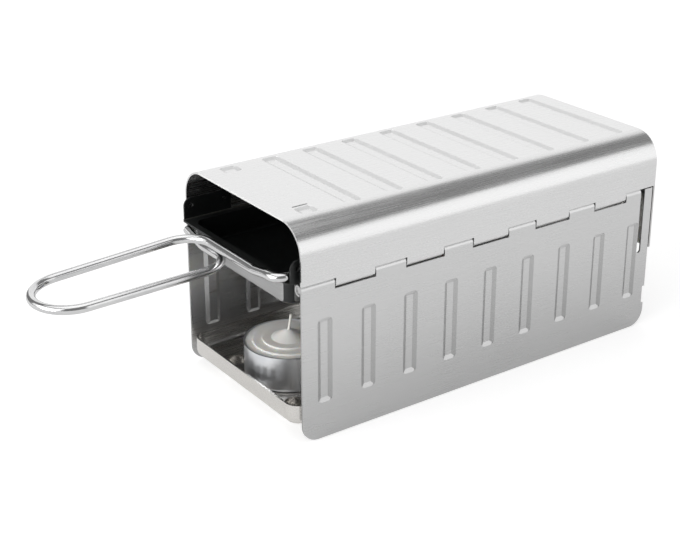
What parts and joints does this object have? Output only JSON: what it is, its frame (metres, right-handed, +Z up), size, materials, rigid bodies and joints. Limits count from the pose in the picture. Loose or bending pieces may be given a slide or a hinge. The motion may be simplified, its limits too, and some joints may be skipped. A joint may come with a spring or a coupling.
{
  "type": "tealight raclette oven",
  "caption": "Folding steel tealight oven for raclette: arched ribbed cover on two hinged side panels, slide-in pan with a clip-on wire handle, and a tray of tealights.",
  "frame": {"origin": "on the table, under the middle of the whole oven with its handle", "axes": "+X to the right seen from the open front, +Y towards the back plate, +Z up; the pan and its handle come out along -Y"},
  "size_m": [0.088, 0.2796, 0.092],
  "materials": {
    "cover_steel": "brushed stainless sheet",
    "panel_steel": "brushed stainless sheet",
    "pin_steel": "drawn steel rod",
    "tray_steel": "brushed stainless sheet",
    "pan_coating": "black non-stick coating inside, grey outside",
    "handle_wire": "polished stainless wire",
    "cup_aluminium": "drawn foil, satin",
    "wax": "soft white wax",
    "wick": "waxed cotton braid",
    "sustainer_tin": "stamped tin plate"
  },
  "bodies": {
    "cover": {"cover_shell": "cover_steel", "back_plate": "cover_steel", "hinge_pin_left": "pin_steel", "hinge_pin_right": "pin_steel"},
    "panel_left": {"side_panel_left": "panel_steel"},
    "panel_right": {"side_panel_right": "panel_steel"},
    "tray": {"base_tray": "tray_steel"},
    "pan": {"pan_body": "pan_coating"},
    "handle": {"pan_handle": "handle_wire"},
    "tealight_1": {"tealight_cup_1": "cup_aluminium", "tealight_wax_1": "wax", "tealight_wick_1": "wick", "wick_sustainer_1": "sustainer_tin"},
    "tealight_2": {"tealight_cup_2": "cup_aluminium", "tealight_wax_2": "wax", "tealight_wick_2": "wick", "wick_sustainer_2": "sustainer_tin"},
    "tealight_3": {"tealight_cup_3": "cup_aluminium", "tealight_wax_3": "wax", "tealight_wick_3": "wick", "wick_sustainer_3": "sustainer_tin"}
  },
  "joints": [
    {"name": "panel_hinge_left", "type": "hinge", "parent": "cover", "child": "panel_left", "pos_m": [-0.0417, 0.0438, 0.066], "axis": [0, -1, 0], "range_deg": [0, 1.8]},
    {"name": "panel_hinge_right", "type": "hinge", "parent": "cover", "child": "panel_right", "pos_m": [0.0417, 0.0438, 0.066], "axis": [0, 1, 0], "range_deg": [0, 1.8]},
    {"name": "pan_slide", "type": "slide", "parent": "cover", "child": "pan", "axis": [0, -1, 0], "range_m": [0, 0.2]},
    {"name": "handle_pull", "type": "slide", "parent": "pan", "child": "handle", "axis": [0, -1, 0], "range_m": [0, 0.04]},
    {"name": "tray_slide", "type": "slide", "parent": "cover", "child": "tray", "axis": [0, -1, 0], "range_m": [0, 0.2]},
    {"name": "tealight_1_lift", "type": "slide", "parent": "tray", "child": "tealight_1", "axis": [0, 0, 1], "range_m": [0, 0.02]},
    {"name": "tealight_2_lift", "type": "slide", "parent": "tray", "child": "tealight_2", "axis": [0, 0, 1], "range_m": [0, 0.02]},
    {"name": "tealight_3_lift", "type": "slide", "parent": "tray", "child": "tealight_3", "axis": [0, 0, 1], "range_m": [0, 0.02]}
  ]
}
